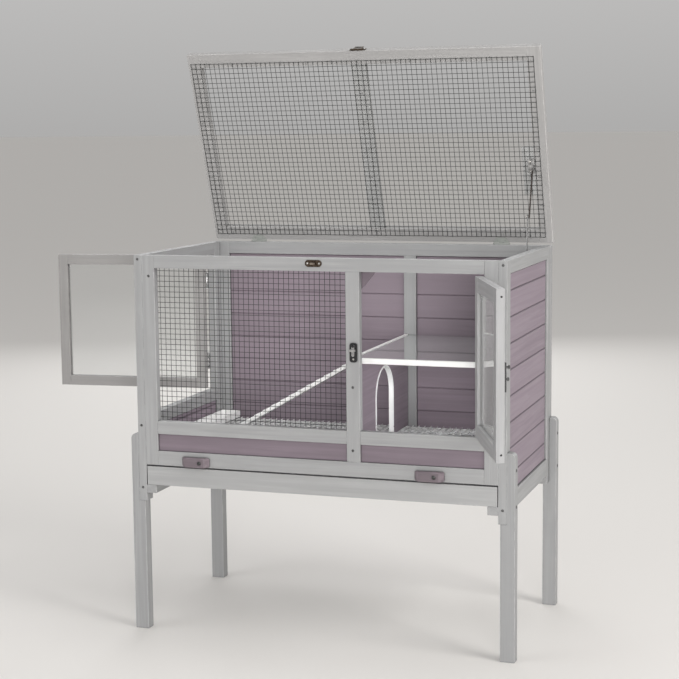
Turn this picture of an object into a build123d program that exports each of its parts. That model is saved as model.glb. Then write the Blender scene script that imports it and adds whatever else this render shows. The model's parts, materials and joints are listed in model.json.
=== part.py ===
"""Wooden hamster cage on four legs, with a mesh roof lid, two glazed doors and a slide-out tray.

Millimetres. +Z up, +X to the right, the front faces -Y. The origin is on the floor, under the
middle of the body. The lid stands 70 degrees open, the front door 112.4 and the side door 84.2.
"""
import os
from math import acos, atan2, cos, degrees, hypot, radians, sin

from build123d import *

os.makedirs("parts", exist_ok=True)

# ---------------------------------------------------------------- driving dimensions
HALF_W = 457.0           # body half width, over the side frames
FRONT = -254.0           # front face of the body
BACK = 254.0             # back face of the body
TOP_Z = 922.0            # top of the body
SHOULDER_Z = 322.0       # leg shoulder that the body stands on

SIDE_T = 20.0            # side frame thickness
FRONT_T = 20.0           # front frame thickness
BACK_T = 24.0            # back frame thickness
RAIL_H = 31.0            # height of the top rails
POST_W = 33.0            # width of the front posts and stiles
BACK_POST_W = 35.0       # width of the back posts
LINING_T = 11.0          # thickness of the wall boards
RECESS = 5.0             # how far the wall boards stand back from the frame's face
GROOVE_PITCH = 60.5      # wall board height
JOINT_GAP = 0.4          # open joint between neighbouring wall boards
ARRIS = 0.8              # eased arris of the timber

SIDE_RAIL_Z = (342.0, 385.0)     # side bottom rails
FRONT_RAIL_Z = (412.0, 447.0)    # front bottom rail
MID_RAIL_Z = (489.0, 520.0)      # front rail under the openings
SILL_Z = (500.0, 530.0)          # rail under the side door
CENTRE_POST_X = (77.0, 110.0)
BACK_MULLION_X = (75.0, 107.0)

LEG_X = (442.0, 476.0)
LEG_D = 28.5
CHEEK_TOP_Z = 487.0

WIRE_R = 0.6             # black mesh wire, with its coating
MESH_PITCH = 12.7        # half-inch mesh
GRID_R = 1.2             # white floor wire
GRID_PITCH = 16.5
FLOOR_Z = 445.0          # top of the ledges that the floor grid lies on

SHELF_X = 77.0
SHELF_Z = (677.0, 686.5)         # the board inside its edging
SHELF_RIM_Z = (675.5, 688.0)     # the channel-shaped edging
INNER_FRONT = -228.0     # front edge of the shelf and the partition
ARCH_Y = 21.0            # middle of the arched doorway
ARCH_R = 70.0
ARCH_SPRING_Z = 562.0

LID_OPEN = 70.0
LID_PIN = (260.0, 923.5)         # Y and Z of the lid's hinge pins
LID_LENGTH = 511.0
LID_GAP = 3.0            # lid timber starts this far from its pins
LID_T = 20.0
LID_LIFT = 1.5           # lid underside above its pins
LID_RAIL_W = 35.0
LID_HALF_W = 457.5

DOOR_T = 18.0
PANE_T = 2.5
PIN_STANDOFF = 3.5       # door pins stand this far in front of the timber
FRONT_DOOR_PIN = (406.0, FRONT - PIN_STANDOFF)
FRONT_DOOR_OPEN = 112.4
FRONT_DOOR_W = 292.0
FRONT_DOOR_Z = (523.0, 888.0)
SIDE_DOOR_PIN = (-HALF_W - PIN_STANDOFF, 194.0)
SIDE_DOOR_OPEN = 84.2
SIDE_DOOR_W = 411.0
SIDE_DOOR_Z = (533.0, 888.0)

LEAF_T = 1.2             # hinge leaf thickness
RUNNING = 0.05           # radial clearance of a pin in its knuckle
SLIP = 0.3               # clearance between faces that slide past each other

# ---------------------------------------------------------------- worked-out places
SIDE_IN = HALF_W - SIDE_T
FRONT_Y = (FRONT, FRONT + FRONT_T)
BACK_Y = (BACK - BACK_T, BACK)
BAY_Y = (FRONT + POST_W, BACK_Y[0] - BACK_POST_W)
STILE_IN = SIDE_IN - POST_W + 0.5
TOP_RAIL_Z = (TOP_Z - RAIL_H, TOP_Z)
WALL_Z = (SIDE_RAIL_Z[1], TOP_RAIL_Z[0])
LID = Plane(
    origin=(0, LID_PIN[0], LID_PIN[1]),
    x_dir=(1, 0, 0),
    z_dir=(0, sin(radians(LID_OPEN)), cos(radians(LID_OPEN))),
)
FRONT_DOOR = Plane(
    origin=(FRONT_DOOR_PIN[0], FRONT_DOOR_PIN[1], 0),
    x_dir=(cos(radians(FRONT_DOOR_OPEN)), sin(radians(FRONT_DOOR_OPEN)), 0),
    z_dir=(0, 0, 1),
)
SIDE_DOOR = Plane(
    origin=(SIDE_DOOR_PIN[0], SIDE_DOOR_PIN[1], 0),
    x_dir=(cos(radians(-SIDE_DOOR_OPEN)), sin(radians(-SIDE_DOOR_OPEN)), 0),
    z_dir=(0, 0, 1),
)
STANDING = (Align.CENTER, Align.CENTER, Align.MIN)


# ---------------------------------------------------------------- helpers
def board(x, y, z):
    """Add one squared board to the open part, from its spans along X, Y and Z."""
    low, high = zip(x, y, z)
    middle = [(a + b) / 2 for a, b in zip(low, high)]
    with Locations(tuple(middle)):
        Box(*[b - a for a, b in zip(low, high)])


def ease(piece, size=ARRIS):
    """Take the sharp arris off every edge of the boards made so far."""
    chamfer(piece.edges(), size)


def save(piece, node):
    """Label a finished piece and write its file."""
    piece.part.label = node
    export_step(piece.part, f"parts/{node}.step")


def mirrored(span):
    """The same span on the left of the cage."""
    return (-span[1], -span[0])


def rods(places, radius, length):
    """Add straight round rods, each centred on one of the places along its local Z."""
    with Locations(*places):
        Cylinder(radius, length)


def mesh_places(columns, rows, pitch, radius, middle, across_up):
    """Places of the two layers of wires of a mesh panel that lies in local X and Y or X and Z."""
    layer = 2 * radius + 0.05
    long_wires = []
    cross_wires = []
    for column in range(columns + 1):
        x = middle[0] + (column - columns / 2) * pitch
        turn = (0, 0, 0) if across_up else (90, 0, 0)
        long_wires.append(Location((x, middle[1], middle[2]), turn))
    for row in range(rows + 1):
        step = (row - rows / 2) * pitch
        if across_up:
            place = (middle[0], middle[1] + layer, middle[2] + step)
        else:
            place = (middle[0], middle[1] + step, middle[2] - layer)
        cross_wires.append(Location(place, (0, 90, 0)))
    return long_wires, cross_wires


def screw_heads(places, radius, height):
    """Add tapered screw heads with a cross recess, each standing on the local XY of its place."""
    with Locations(*places):
        Cone(radius, 0.65 * radius, height, align=STANDING)
    recess = [place * Location((0, 0, height * 0.5)) for place in places]
    with Locations(*recess):
        Box(0.9 * radius, 0.24 * radius, height, align=STANDING, mode=Mode.SUBTRACT)
        Box(0.24 * radius, 0.9 * radius, height, align=STANDING, mode=Mode.SUBTRACT)


def hinge_leaf(place, length, reach, seat, barrel_r, pin_r, outer, narrowing=0.0):
    """Add one leaf of a three-knuckle hinge.

    The pin lies along the local Z of the place, the plate reaches out along local X, and the
    timber's face is at local Y = -seat. The outer leaf holds the end knuckles and the pin.
    A butterfly hinge's plate narrows by the given length at each side towards its far edge.
    """
    third = length / 3
    knuckles = [(-length / 2, -length / 6 - SLIP / 2), (length / 6 + SLIP / 2, length / 2)]
    if not outer:
        knuckles = [(-length / 6 + SLIP / 2, length / 6 - SLIP / 2)]
    plate_x = barrel_r + 2 * SLIP
    with Locations(place):
        with Locations(Location(((plate_x + reach) / 2, LEAF_T / 2 - seat, 0), (-90, 0, -90))):
            Wedge(length, reach - plate_x, LEAF_T, narrowing, 0, length - narrowing, LEAF_T)
        for low, high in knuckles:
            with Locations((plate_x / 2, LEAF_T / 2 - seat, (low + high) / 2)):
                Box(plate_x, LEAF_T, high - low)
            with Locations((0, 0, (low + high) / 2)):
                Cylinder(barrel_r, high - low)
        if outer:
            Cylinder(pin_r, length + 2)
        else:
            Cylinder(pin_r + RUNNING, third * 1.2, mode=Mode.SUBTRACT)


# ---------------------------------------------------------------- legs
def legs(depth, node):
    """A pair of legs, each notched to a shoulder with a rounded cheek beside the body."""
    with BuildPart() as pair:
        with BuildSketch(Plane.XZ.offset(-depth[0])) as outline:
            with BuildLine():
                Polyline(
                    (LEG_X[0], 0),
                    (LEG_X[1], 0),
                    (LEG_X[1], CHEEK_TOP_Z),
                    (HALF_W, CHEEK_TOP_Z),
                    (HALF_W, SHOULDER_Z),
                    (LEG_X[0], SHOULDER_Z),
                    close=True,
                )
            make_face()
            fillet(outline.vertices().group_by(Axis.Y)[-1].sort_by(Axis.X)[-1], 12)
        extrude(amount=-LEG_D)
        chamfer(pair.edges().filter_by(Axis.Z), ARRIS)
        mirror(about=Plane.YZ)
    save(pair, node)


legs((FRONT, FRONT + LEG_D), "front_legs")
legs((BACK - LEG_D, BACK), "back_legs")

# ---------------------------------------------------------------- side frames
RIGHT_X = (SIDE_IN, HALF_W)
LEFT_X = mirrored(RIGHT_X)

with BuildPart() as side_posts:
    for frame_x in (LEFT_X, RIGHT_X):
        board(frame_x, (FRONT, BAY_Y[0]), (SHOULDER_Z, TOP_Z))
        board(frame_x, (BAY_Y[1], BACK_Y[0]), (SHOULDER_Z, TOP_Z))
    ease(side_posts)
save(side_posts, "side_posts")

with BuildPart() as side_rails:
    for frame_x in (LEFT_X, RIGHT_X):
        board(frame_x, BAY_Y, TOP_RAIL_Z)
        board(frame_x, BAY_Y, SIDE_RAIL_Z)
    board(LEFT_X, BAY_Y, SILL_Z)
    ease(side_rails)
save(side_rails, "side_rails")


# ---------------------------------------------------------------- wall boards
def wall_board_edges(bottom, top):
    """Heights of the joints between wall boards, with the first joint 42.5 above the rail."""
    edges = [bottom]
    joint = SIDE_RAIL_Z[1] + 42.5
    while joint < top - 10:
        edges.append(joint)
        joint += GROOVE_PITCH
    edges.append(top)
    return edges


def wall_boards(x, y, bottom, top):
    """Stack separate horizontal boards that fill a wall bay."""
    edges = wall_board_edges(bottom, top)
    for low, high in zip(edges, edges[1:]):
        board(x, y, (low + JOINT_GAP / 2, high - JOINT_GAP / 2))


LINING_X = (HALF_W - RECESS - LINING_T, HALF_W - RECESS)
with BuildPart() as right_wall_boards:
    wall_boards(LINING_X, BAY_Y, *WALL_Z)
    ease(right_wall_boards, 2.2)
save(right_wall_boards, "right_wall_boards")

with BuildPart() as left_low_boards:
    wall_boards(mirrored(LINING_X), BAY_Y, WALL_Z[0], SILL_Z[0])
    ease(left_low_boards, 2.2)
save(left_low_boards, "left_low_boards")

BACK_STILE_IN = 410.0
BACK_LINING_Y = (BACK - RECESS - LINING_T - 2, BACK - RECESS - 2)
with BuildPart() as back_wall_boards:
    wall_boards((-BACK_STILE_IN, BACK_MULLION_X[0]), BACK_LINING_Y, *WALL_Z)
    wall_boards((BACK_MULLION_X[1], BACK_STILE_IN), BACK_LINING_Y, *WALL_Z)
    ease(back_wall_boards, 2.0)
save(back_wall_boards, "back_wall_boards")

# ---------------------------------------------------------------- back frame
with BuildPart() as back_stiles:
    board((-HALF_W, -BACK_STILE_IN), BACK_Y, (SHOULDER_Z, TOP_Z))
    board((BACK_STILE_IN, HALF_W), BACK_Y, (SHOULDER_Z, TOP_Z))
    board(BACK_MULLION_X, BACK_Y, WALL_Z)
    ease(back_stiles)
save(back_stiles, "back_stiles")

with BuildPart() as back_rails:
    board((-BACK_STILE_IN, BACK_STILE_IN), BACK_Y, TOP_RAIL_Z)
    board((-BACK_STILE_IN, BACK_STILE_IN), BACK_Y, SIDE_RAIL_Z)
    ease(back_rails)
save(back_rails, "back_rails")

# ---------------------------------------------------------------- front frame
LEFT_BAY_X = (-STILE_IN, CENTRE_POST_X[0])
RIGHT_BAY_X = (CENTRE_POST_X[1], STILE_IN)

with BuildPart() as front_stiles:
    board((-SIDE_IN, -STILE_IN), FRONT_Y, (FRONT_RAIL_Z[0], TOP_Z))
    board((STILE_IN, SIDE_IN), FRONT_Y, (FRONT_RAIL_Z[0], TOP_Z))
    ease(front_stiles)
save(front_stiles, "front_stiles")

with BuildPart() as front_rails:
    board((-STILE_IN, STILE_IN), FRONT_Y, TOP_RAIL_Z)
    board((-STILE_IN, STILE_IN), FRONT_Y, FRONT_RAIL_Z)
    for bay_x in (LEFT_BAY_X, RIGHT_BAY_X):
        board(bay_x, FRONT_Y, MID_RAIL_Z)
    ease(front_rails)
save(front_rails, "front_rails")

with BuildPart() as front_centre_post:
    board(CENTRE_POST_X, FRONT_Y, (FRONT_RAIL_Z[1], TOP_RAIL_Z[0]))
    ease(front_centre_post)
save(front_centre_post, "front_centre_post")

with BuildPart() as front_strip_panels:
    for bay_x in (LEFT_BAY_X, RIGHT_BAY_X):
        board(bay_x, (FRONT + RECESS, FRONT + RECESS + LINING_T), (FRONT_RAIL_Z[1], MID_RAIL_Z[0]))
    ease(front_strip_panels)
save(front_strip_panels, "front_strip_panels")

# Small triangular blocks in the corners beside the centre post, behind the front door.
GUSSET_T = 6.0
with BuildPart() as front_gussets:
    with BuildSketch(Plane.XZ.offset(-FRONT_Y[1])):
        with BuildLine():
            Polyline(
                (RIGHT_BAY_X[0], TOP_RAIL_Z[0]),
                (RIGHT_BAY_X[0] + 34, TOP_RAIL_Z[0]),
                (RIGHT_BAY_X[0], TOP_RAIL_Z[0] - 41),
                close=True,
            )
        make_face()
    extrude(amount=-GUSSET_T)
save(front_gussets, "front_gussets")

# Window mesh, stapled to the inner faces of the left bay's frame.
WINDOW_MESH = (39, 30)
WINDOW_MIDDLE = (-164.5, FRONT_Y[1] + WIRE_R + 0.05, (MID_RAIL_Z[1] + TOP_RAIL_Z[0]) / 2)
with BuildPart() as window_mesh:
    uprights, crossings = mesh_places(*WINDOW_MESH, MESH_PITCH, WIRE_R, WINDOW_MIDDLE, True)
    rods(uprights, WIRE_R, WINDOW_MESH[1] * MESH_PITCH + 2)
    rods(crossings, WIRE_R, WINDOW_MESH[0] * MESH_PITCH + 2)
save(window_mesh, "window_mesh")

# ---------------------------------------------------------------- floor and tray
LEDGE = 10.0
RUNNER_W = 25.0
with BuildPart() as inner_ledges:
    ledge_z = (FLOOR_Z - 12, FLOOR_Z)
    board((-SIDE_IN, SIDE_IN), (FRONT_Y[1], FRONT_Y[1] + LEDGE), ledge_z)
    board((-SIDE_IN, SIDE_IN), (BACK_Y[0] - LEDGE, BACK_Y[0]), ledge_z)
    side_ledge_y = (FRONT_Y[1] + LEDGE + JOINT_GAP, BACK_Y[0] - LEDGE - JOINT_GAP)
    for ledge_x in ((-SIDE_IN, LEDGE - SIDE_IN), (SIDE_IN - LEDGE, SIDE_IN)):
        board(ledge_x, side_ledge_y, ledge_z)
    shelf_ledge_z = (SHELF_Z[0] - 12, SHELF_Z[0])
    board((SIDE_IN - 12, SIDE_IN), (FRONT + 40, BACK_Y[0] - 13), shelf_ledge_z)
    board((SHELF_X + 20, SIDE_IN), (BACK_Y[0] - 12, BACK_Y[0]), shelf_ledge_z)
save(inner_ledges, "inner_ledges")

TRAY_Z = SIDE_RAIL_Z[0] + 20
with BuildPart() as tray_runners:
    for runner_x in ((-SIDE_IN, RUNNER_W - SIDE_IN), (SIDE_IN - RUNNER_W, SIDE_IN)):
        board(runner_x, (FRONT, BACK_Y[0]), (SIDE_RAIL_Z[0], TRAY_Z))
    ease(tray_runners)
save(tray_runners, "tray_runners")

with BuildPart() as tray_front_board:
    board((-SIDE_IN + 2, SIDE_IN - 2), (FRONT, FRONT + 18), (TRAY_Z + SLIP, 408))
    ease(tray_front_board)
save(tray_front_board, "tray_front_board")

with BuildPart() as tray_pan:
    board((-430, 430), (FRONT + 18, 222), (TRAY_Z + SLIP, 402))
    fillet(tray_pan.edges().filter_by(Axis.Z), 6)
    offset(amount=-2, openings=tray_pan.faces().sort_by(Axis.Z)[-1])
save(tray_pan, "tray_pan")

GRID_CELLS = (52, 27)
with BuildPart() as floor_grid:
    grid_middle = (0, (FRONT_Y[1] + BACK_Y[0]) / 2, FLOOR_Z + 3 * GRID_R + 0.05)
    long_wires, cross_wires = mesh_places(*GRID_CELLS, GRID_PITCH, GRID_R, grid_middle, False)
    rods(long_wires, GRID_R, BACK_Y[0] - FRONT_Y[1] - 4)
    rods(cross_wires, GRID_R, 2 * SIDE_IN - 4)
save(floor_grid, "floor_grid")
GRID_TOP = FLOOR_Z + 4 * GRID_R + 0.05

with BuildPart() as corner_tray:
    board((-SIDE_IN + 1, -383), (-10, BACK_Y[0] - 1), (GRID_TOP, GRID_TOP + 18))
    fillet(corner_tray.edges().filter_by(Axis.Z), 10)
    fillet(corner_tray.edges().group_by(Axis.Z)[0], 4)
    offset(amount=-2.5, openings=corner_tray.faces().sort_by(Axis.Z)[-1])
save(corner_tray, "corner_tray")

# ---------------------------------------------------------------- shelf, ramp and partition
EDGING = 1.5
RIM = 8.0
with BuildPart() as shelf:
    board((SHELF_X + EDGING, SIDE_IN - 1), (INNER_FRONT + EDGING, BACK_Y[0]), SHELF_Z)
save(shelf, "shelf")

# Channel-shaped edging, pressed over the shelf's front and left edges.
with BuildPart() as shelf_edging:
    board((SHELF_X, SIDE_IN - 1), (INNER_FRONT, INNER_FRONT + EDGING), SHELF_RIM_Z)
    board((SHELF_X, SHELF_X + EDGING), (INNER_FRONT, BACK_Y[0]), SHELF_RIM_Z)
    for rim_z in ((SHELF_Z[1], SHELF_RIM_Z[1]), (SHELF_RIM_Z[0], SHELF_Z[0])):
        board((SHELF_X, SIDE_IN - 1), (INNER_FRONT, INNER_FRONT + RIM), rim_z)
        board((SHELF_X, SHELF_X + RIM), (INNER_FRONT, BACK_Y[0]), rim_z)
save(shelf_edging, "shelf_edging")

PARTITION_X = (SHELF_X, SHELF_X + 8)
TRIM = 4.0
TRIM_PROUD = 2.0


def arch(radius, mode):
    """Add or cut the arched doorway's shape in a sketch whose X is depth and Y is height."""
    straight = ARCH_SPRING_Z - GRID_TOP
    with Locations((ARCH_Y, GRID_TOP + straight / 2)):
        Rectangle(2 * radius, straight, mode=mode)
    with Locations((ARCH_Y, ARCH_SPRING_Z)):
        Circle(radius, mode=mode)


with BuildPart() as arch_partition:
    with BuildSketch(Plane.YZ.offset(PARTITION_X[0])) as partition_outline:
        with Locations(((INNER_FRONT + BACK_Y[0]) / 2, (GRID_TOP + SHELF_RIM_Z[0]) / 2)):
            Rectangle(BACK_Y[0] - INNER_FRONT, SHELF_RIM_Z[0] - GRID_TOP)
        arch(ARCH_R + TRIM, Mode.SUBTRACT)
    extrude(amount=PARTITION_X[1] - PARTITION_X[0])
save(arch_partition, "arch_partition")

with BuildPart() as arch_trim:
    with BuildSketch(Plane.YZ.offset(PARTITION_X[0] - TRIM_PROUD)) as trim_outline:
        arch(ARCH_R + TRIM, Mode.ADD)
        arch(ARCH_R, Mode.SUBTRACT)
    extrude(amount=PARTITION_X[1] - PARTITION_X[0] + 2 * TRIM_PROUD)
save(arch_trim, "arch_trim")

RAMP_Y = (-219.0, -149.0)
RAMP_T = 8.0
RAMP_SLOPE = 29.9
RAMP_HEAD = (72.0, 675.0)        # X and Z of the upper end of the walking face
RAMP_LENGTH = (RAMP_HEAD[1] - GRID_TOP) / sin(radians(RAMP_SLOPE)) - 15.2
RAMP = Plane(
    origin=(RAMP_HEAD[0], (RAMP_Y[0] + RAMP_Y[1]) / 2, RAMP_HEAD[1]),
    x_dir=(-cos(radians(RAMP_SLOPE)), 0, -sin(radians(RAMP_SLOPE))),
    z_dir=(-sin(radians(RAMP_SLOPE)), 0, cos(radians(RAMP_SLOPE))),
)
RAMP_HALF = (RAMP_Y[1] - RAMP_Y[0]) / 2

with BuildPart(RAMP) as ramp:
    board((0, RAMP_LENGTH), (-RAMP_HALF, RAMP_HALF), (-RAMP_T, 0))
    ease(ramp)
save(ramp, "ramp")

TREADS = 17
with BuildPart(RAMP) as ramp_treads:
    for tread in range(TREADS):
        tread_x = (tread + 0.7) * RAMP_LENGTH / TREADS
        board((tread_x - 2.5, tread_x + 2.5), (-RAMP_HALF + 3, RAMP_HALF - 3), (0, 2.2))
    ease(ramp_treads, 0.7)
save(ramp_treads, "ramp_treads")

# ---------------------------------------------------------------- turn buttons on the front rail
BUTTON_PIVOTS = {"turn_button_left": (-292.0, 425.0), "turn_button_right": (290.0, 425.0)}
BUTTON_ARMS = (-50.0, 24.0)
BUTTON_H = 24.0
BUTTON_T = 15.0
BUTTON_BEVEL = 10.0
SHANK_R = 2.0

for node, (pivot_x, pivot_z) in BUTTON_PIVOTS.items():
    with BuildPart() as turn_button:
        with BuildSketch(Plane.XY.offset(pivot_z - BUTTON_H / 2)):
            with BuildLine():
                Polyline(
                    (pivot_x + BUTTON_ARMS[0], FRONT - SLIP),
                    (pivot_x + BUTTON_ARMS[1], FRONT - SLIP),
                    (pivot_x + BUTTON_ARMS[1] - BUTTON_BEVEL, FRONT - BUTTON_T),
                    (pivot_x + BUTTON_ARMS[0] + BUTTON_BEVEL, FRONT - BUTTON_T),
                    close=True,
                )
            make_face()
        extrude(amount=BUTTON_H)
        ease(turn_button, 2.8)
        with Locations(Location((pivot_x, FRONT - BUTTON_T / 2, pivot_z), (90, 0, 0))):
            Cylinder(SHANK_R + RUNNING, 2 * BUTTON_T, mode=Mode.SUBTRACT)
    save(turn_button, node)

with BuildPart() as turn_button_screws:
    for pivot_x, pivot_z in BUTTON_PIVOTS.values():
        head_place = Location((pivot_x, FRONT - BUTTON_T - SLIP, pivot_z), (90, 0, 0))
        with Locations(Location((pivot_x, FRONT, pivot_z), (90, 0, 0))):
            Cylinder(SHANK_R, BUTTON_T + SLIP, align=STANDING)
        screw_heads([head_place], 5, 2.4)
save(turn_button_screws, "turn_button_screws")

# ---------------------------------------------------------------- front door latch
LATCH_X = 96.0
LATCH_Z = 720.0
PLATE_T = 3.0
LEVER_LIFT = 1.25        # the lever turns this far in front of its plate, clear of the door's
with BuildPart() as post_latch_plate:
    with BuildSketch(Plane.XZ.offset(-FRONT)):
        with Locations((LATCH_X, 704.5)):
            RectangleRounded(18, 45, 6)
    extrude(amount=PLATE_T)
    with Locations(Location((LATCH_X, FRONT - PLATE_T, LATCH_Z), (90, 0, 0))):
        Cylinder(1.8, LEVER_LIFT + 3, align=STANDING)
        with Locations((0, 0, LEVER_LIFT + 2.75)):
            Cone(3.6, 2.6, 1.2, align=STANDING)
save(post_latch_plate, "post_latch_plate")

with BuildPart() as post_latch_lever:
    with BuildSketch(Plane.XZ.offset(-FRONT + PLATE_T + LEVER_LIFT)):
        with Locations((LATCH_X, LATCH_Z - 10.5)):
            SlotOverall(28, 7, rotation=90)
        with Locations((LATCH_X, LATCH_Z)):
            Circle(1.8 + RUNNING, mode=Mode.SUBTRACT)
    extrude(amount=2.5)
    with Locations((LATCH_X, FRONT - PLATE_T - LEVER_LIFT - 4.5, LATCH_Z - 10)):
        Box(14, 5, 5)
save(post_latch_lever, "post_latch_lever")

DOOR_PLATE_T = 4.0
with BuildPart(FRONT_DOOR) as door_latch_plate:
    board((-292, -272), (PIN_STANDOFF - DOOR_PLATE_T, PIN_STANDOFF), (672, 734))
    chamfer(door_latch_plate.edges(), 0.6)
save(door_latch_plate, "door_latch_plate")

with BuildPart(FRONT_DOOR) as door_latch_studs:
    for stud_z, neck in ((698, 4.5), (723, 6.5)):
        with Locations(Location((-280, PIN_STANDOFF - DOOR_PLATE_T, stud_z), (90, 0, 0))):
            Cylinder(2.6, neck, align=STANDING)
            with Locations((0, 0, neck)):
                Cone(4.6, 3.2, 3.0, align=STANDING)
save(door_latch_studs, "door_latch_studs")


# ---------------------------------------------------------------- doors
def door(plane, along, width, face, heights, member, prefix):
    """A glazed door: two stiles, two rails between them and a clear pane.

    along is the local axis, 0 or 1, that the width runs along, away from the pin, and face is
    the span of its thickness along the other local axis.
    """
    def place(span, depth):
        return (span, depth) if along == 0 else (depth, span)

    free, hinge = width
    pane_face = ((face[0] + face[1]) / 2 - PANE_T / 2, (face[0] + face[1]) / 2 + PANE_T / 2)
    with BuildPart(plane) as stiles:
        board(*place((free, free + member), face), heights)
        board(*place((hinge - member, hinge), face), heights)
        ease(stiles)
    save(stiles, f"{prefix}_stiles")
    inner = (free + member, hinge - member)
    with BuildPart(plane) as rails:
        board(*place(inner, face), (heights[0], heights[0] + member))
        board(*place(inner, face), (heights[1] - member, heights[1]))
        ease(rails)
    save(rails, f"{prefix}_rails")
    with BuildPart(plane) as pane:
        board(*place(inner, pane_face), (heights[0] + member, heights[1] - member))
    save(pane, f"{prefix}_pane")


DOOR_FACE = (PIN_STANDOFF, PIN_STANDOFF + DOOR_T)
door(FRONT_DOOR, 0, (-2 - FRONT_DOOR_W, -2), DOOR_FACE, FRONT_DOOR_Z, 33.0, "front_door")
door(SIDE_DOOR, 1, (-1 - SIDE_DOOR_W, -1), DOOR_FACE, SIDE_DOOR_Z, 26.0, "side_door")

# Hinge places: local Z along the pin, local X from the pin along the leaf, local Y outwards.
DOOR_HINGE_L = 44.0
DOOR_BARREL_R = 3.0
DOOR_PIN_R = 1.3
DOOR_REACH = 22.0
FRONT_HINGES_Z = (590.0, 822.0)
SIDE_HINGES_Z = (605.0, 819.0)


def leaf_place(pin, height, out, away):
    """Place of a vertical hinge leaf on the pin at a height, from its outward and leaf directions."""
    plane = Plane(origin=(pin[0], pin[1], height), x_dir=away, z_dir=Vector(*away).cross(Vector(*out)))
    return plane.location


def door_leaves(places, outer):
    """Add the leaves of a door's hinges."""
    for place in places:
        hinge_leaf(place, DOOR_HINGE_L, DOOR_REACH, PIN_STANDOFF, DOOR_BARREL_R, DOOR_PIN_R, outer)


with BuildPart() as door_fixed_leaves:
    door_leaves([leaf_place(FRONT_DOOR_PIN, z, (0, -1, 0), (1, 0, 0)) for z in FRONT_HINGES_Z], True)
    door_leaves([leaf_place(SIDE_DOOR_PIN, z, (-1, 0, 0), (0, 1, 0)) for z in SIDE_HINGES_Z], True)
save(door_fixed_leaves, "door_fixed_leaves")

with BuildPart() as front_door_hinge_leaves:
    out = tuple(-FRONT_DOOR.y_dir)
    away = tuple(-FRONT_DOOR.x_dir)
    door_leaves([leaf_place(FRONT_DOOR_PIN, z, out, away) for z in FRONT_HINGES_Z], False)
save(front_door_hinge_leaves, "front_door_moving_leaves")

with BuildPart() as side_door_hinge_leaves:
    out = tuple(-SIDE_DOOR.x_dir)
    away = tuple(-SIDE_DOOR.y_dir)
    door_leaves([leaf_place(SIDE_DOOR_PIN, z, out, away) for z in SIDE_HINGES_Z], False)
save(side_door_hinge_leaves, "side_door_moving_leaves")

# ---------------------------------------------------------------- lid
LID_FAR = -LID_GAP - LID_LENGTH
LID_Z = (LID_LIFT, LID_LIFT + LID_T)
LID_STILE_IN = LID_HALF_W - 34
LID_RAIL_YS = ((LID_FAR, LID_FAR + LID_RAIL_W), (-LID_GAP - LID_RAIL_W, -LID_GAP))
LID_BAR_X = (-20.0, 17.0)

with BuildPart(LID) as lid_stiles:
    for stile_x in ((-LID_HALF_W, -LID_STILE_IN), (LID_STILE_IN, LID_HALF_W)):
        board(stile_x, (LID_FAR, -LID_GAP), LID_Z)
    ease(lid_stiles)
save(lid_stiles, "lid_stiles")

for rail_y, node in zip(LID_RAIL_YS, ("lid_front_rail", "lid_back_rail")):
    with BuildPart(LID) as lid_rail:
        board((-LID_STILE_IN, LID_STILE_IN), rail_y, LID_Z)
        ease(lid_rail)
    save(lid_rail, node)

with BuildPart(LID) as lid_centre_bar:
    board(LID_BAR_X, (LID_RAIL_YS[0][1], LID_RAIL_YS[1][0]), LID_Z)
    ease(lid_centre_bar)
save(lid_centre_bar, "lid_centre_bar")

LID_MESH = (70, 37)
LID_MESH_MIDDLE = (-5.0, -254.0, LID_LIFT - WIRE_R - 0.05)
with BuildPart(LID) as lid_mesh:
    down_wires, cross_wires = mesh_places(*LID_MESH, MESH_PITCH, WIRE_R, LID_MESH_MIDDLE, False)
    rods(down_wires, WIRE_R, LID_MESH[1] * MESH_PITCH + 2)
    rods(cross_wires, WIRE_R, LID_MESH[0] * MESH_PITCH + 2)
save(lid_mesh, "lid_mesh")
LID_MESH_BOTTOM = LID_LIFT - 4 * WIRE_R - 0.1

# A block beside the right stile, behind the mesh, that the stay's bracket is screwed to.
STAY_BLOCK_T = 12.0
with BuildPart(LID) as stay_block:
    board((394, LID_STILE_IN), (-257, -134), (LID_LIFT, LID_LIFT + STAY_BLOCK_T))
    ease(stay_block)
save(stay_block, "stay_block")

LID_HINGE_X = (-335.0, 325.0)
LID_HINGE_L = 42.0
LID_BARREL_R = 2.3
LID_HINGE_PIN_R = 1.1
LID_REACH = 16.0
LID_LEAF = (LID_HINGE_L, LID_REACH, LID_LIFT, LID_BARREL_R, LID_HINGE_PIN_R)
BUTTERFLY = 9.0


def lid_leaf_place(x, away, out):
    """Place of a lid hinge leaf on the pin line at one X, from its leaf and outward directions."""
    plane = Plane(origin=(x, *LID_PIN), x_dir=away, z_dir=Vector(*away).cross(Vector(*out)))
    return plane.location


with BuildPart() as lid_hinge_fixed:
    for hinge_x in LID_HINGE_X:
        fixed_place = lid_leaf_place(hinge_x, (0, -1, 0), (0, 0, 1))
        hinge_leaf(fixed_place, *LID_LEAF, True, BUTTERFLY)
save(lid_hinge_fixed, "lid_fixed_leaves")

with BuildPart() as lid_hinge_moving:
    for hinge_x in LID_HINGE_X:
        moving_place = lid_leaf_place(hinge_x, tuple(-LID.y_dir), tuple(-LID.z_dir))
        hinge_leaf(moving_place, *LID_LEAF, False, BUTTERFLY)
save(lid_hinge_moving, "lid_moving_leaves")

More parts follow.
